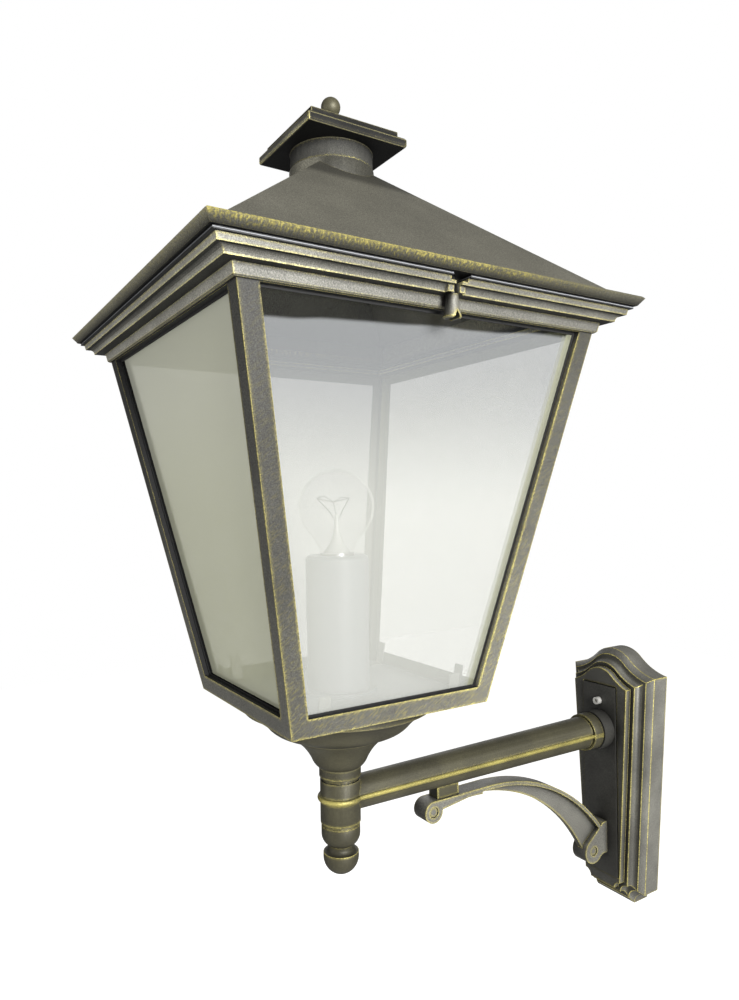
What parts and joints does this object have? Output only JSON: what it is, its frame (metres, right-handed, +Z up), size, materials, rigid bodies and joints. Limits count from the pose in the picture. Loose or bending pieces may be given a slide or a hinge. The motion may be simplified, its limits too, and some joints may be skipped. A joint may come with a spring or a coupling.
{
  "type": "outdoor wall lantern",
  "caption": "Tapered square lantern with glass panes and a hinged pyramid roof, carried on a braced horizontal arm from a stepped wall plate, for outdoor wall lighting.",
  "frame": {"origin": "on the wall plane, midway between the two wall screw holes", "axes": "+Z up, +Y into the wall, +X to the right for someone facing the wall; the lantern hangs out along -Y"},
  "size_m": [0.3404, 0.5099, 0.7275],
  "materials": {
    "bronze_black": "satin bronze-black paint on die-cast aluminium, rubbed to gold along the edges",
    "zinc_steel": "zinc-plated steel",
    "pale_enamel": "pale satin enamel",
    "grey_silicone": "matte pale grey silicone",
    "black_rubber": "matte black",
    "pane_glass": "clear with a hazed surface",
    "bulb_glass": "clear",
    "white_plastic": "satin white",
    "bulb_cap_metal": "bright"
  },
  "bodies": {
    "bracket_and_cage": {"wall_plate": "bronze_black", "arm_plate": "bronze_black", "arm_plate_screw": "zinc_steel", "arm": "bronze_black", "arm_nut": "zinc_steel", "brace": "bronze_black", "brace_pins": "bronze_black", "brace_screws": "zinc_steel", "base_cup": "bronze_black", "finial": "bronze_black", "stem_nipple": "zinc_steel", "stem_nut": "zinc_steel", "floor_plate": "pale_enamel", "cage_frame": "bronze_black", "cornice_ring": "bronze_black", "cornice_screws": "zinc_steel", "lid_gasket": "grey_silicone", "pane_seal": "black_rubber", "pane_latch_side": "pane_glass", "pane_wall_side": "pane_glass", "pane_hinge_side": "pane_glass", "pane_street_side": "pane_glass", "pane_clips": "zinc_steel", "lamp_pillar": "white_plastic", "lampholder": "white_plastic", "bulb_glass": "bulb_glass", "bulb_cap": "bulb_cap_metal", "bulb_stem": "bulb_glass", "hinge_pins": "zinc_steel"},
    "roof": {"roof": "bronze_black", "chimney_cap": "bronze_black", "cap_knob": "bronze_black", "cap_nut": "zinc_steel"},
    "latch": {"latch_screw": "bronze_black"}
  },
  "joints": [
    {"name": "roof_hinge", "type": "hinge", "parent": "bracket_and_cage", "child": "roof", "pos_m": [-0.1705, -0.3445, 0.4543], "axis": [0, -1, 0], "range_deg": [0, 95]},
    {"name": "latch_turn", "type": "hinge", "parent": "bracket_and_cage", "child": "latch", "pos_m": [0.1486, -0.3445, 0.45], "axis": [0, 0, 1], "continuous": true}
  ]
}
